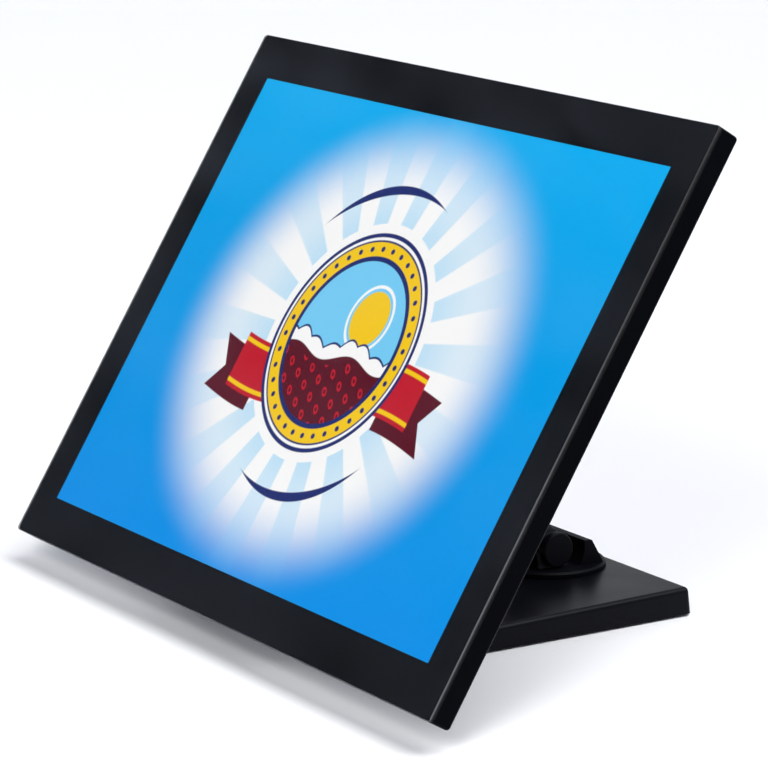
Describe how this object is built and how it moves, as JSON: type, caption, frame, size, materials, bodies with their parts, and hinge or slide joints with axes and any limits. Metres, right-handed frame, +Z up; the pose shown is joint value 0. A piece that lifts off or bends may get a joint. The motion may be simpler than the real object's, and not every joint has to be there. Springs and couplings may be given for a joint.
{
  "type": "counter menu light box",
  "caption": "Thin edge-lit light box with a black-bordered display, leaning back on a two-hinge folding stand with a heavy plate base.",
  "frame": {"origin": "on the counter, under the middle of the whole object's length, width and depth", "axes": "+X to the display's right as the viewer sees it, +Y from the display back towards the stand, +Z up"},
  "size_m": [0.458, 0.2736, 0.3105],
  "materials": {
    "cover_black": "satin black moulding",
    "housing_black": "satin black moulding",
    "cap_grey": "satin dark grey moulding",
    "steel_black": "black powder coat",
    "steel_plain": "zinc plated",
    "rubber_black": "matte",
    "washer_ivory": "matte",
    "pane_clear": "clear polished sheet",
    "border_black": "black print seen through the pane",
    "film_print": "backlit print in sky blue, white, navy, yellow and maroon",
    "sheet_white": "matte white sheet",
    "guide_clear": "clear polished sheet",
    "rail_aluminium": "mill finish",
    "strip_white": "white board",
    "magnet_grey": "flexible magnet, matte",
    "board_green": "green board",
    "fitting_black": "gloss black moulding"
  },
  "bodies": {
    "base": {"base_cover": "cover_black", "hinge_cover": "cover_black", "base_hinge_bracket": "steel_black", "base_bracket_bolt_rear": "steel_plain", "base_bracket_bolt_front": "steel_plain", "base_weight": "steel_plain", "bottom_plate": "steel_black", "bottom_plate_screw_back_right": "steel_plain", "bottom_plate_screw_back_left": "steel_plain", "bottom_plate_screw_front_left": "steel_plain", "bottom_plate_screw_front_right": "steel_plain", "foot_back_right": "rubber_black", "foot_back_left": "rubber_black", "foot_front_left": "rubber_black", "foot_front_right": "rubber_black", "base_axle": "steel_plain", "base_axle_nut": "steel_plain", "base_spring_washer": "steel_plain", "base_friction_washer_right": "washer_ivory", "base_friction_washer_left": "washer_ivory", "base_cap_right": "cap_grey", "base_cap_left": "cap_grey"},
    "arm": {"arm_core": "steel_black", "arm_front_cover": "cover_black", "arm_rear_cover": "cover_black"},
    "light_box": {"rear_housing": "housing_black", "service_cover": "housing_black", "service_cover_screw_top_right": "steel_plain", "service_cover_screw_top_left": "steel_plain", "service_cover_screw_bottom_left": "steel_plain", "service_cover_screw_bottom_right": "steel_plain", "driver_board": "board_green", "dc_jack": "fitting_black", "switch_body": "fitting_black", "head_bracket": "steel_black", "head_bracket_screw_top_right": "steel_plain", "head_bracket_screw_top_left": "steel_plain", "head_bracket_screw_bottom_left": "steel_plain", "head_bracket_screw_bottom_right": "steel_plain", "head_axle": "steel_plain", "head_axle_nut": "steel_plain", "head_spring_washer": "steel_plain", "head_friction_washer_right": "washer_ivory", "head_friction_washer_left": "washer_ivory", "head_cap_right": "cap_grey", "head_cap_left": "cap_grey", "led_rail_top": "rail_aluminium", "led_rail_bottom": "rail_aluminium", "magnet_strip_top": "magnet_grey", "magnet_strip_bottom": "magnet_grey", "reflector_sheet": "sheet_white", "light_guide": "guide_clear", "diffuser_sheet": "sheet_white", "graphic_film": "film_print", "led_strip_top": "strip_white", "led_strip_bottom": "strip_white"},
    "front_panel": {"front_pane": "pane_clear", "border_mask": "border_black", "keeper_frame": "steel_plain"},
    "switch_rocker": {"switch_rocker": "fitting_black"}
  },
  "joints": [
    {"name": "base_hinge", "type": "hinge", "parent": "base", "child": "arm", "pos_m": [0, 0.08835, 0.03097], "axis": [-1, 0, 0], "range_deg": [0, 40]},
    {"name": "head_tilt", "type": "hinge", "parent": "arm", "child": "light_box", "pos_m": [0, -0.00593, 0.13981], "axis": [-1, 0, 0], "range_deg": [-5, 45]},
    {"name": "panel_lift", "type": "slide", "parent": "light_box", "child": "front_panel", "axis": [0, -0.8517, 0.524], "range_m": [0, 0.05]},
    {"name": "switch_rock", "type": "hinge", "parent": "light_box", "child": "switch_rocker", "pos_m": [0.0623, -0.08139, 0.06295], "axis": [0, 0.8517, -0.524], "range_deg": [0, 18]}
  ]
}
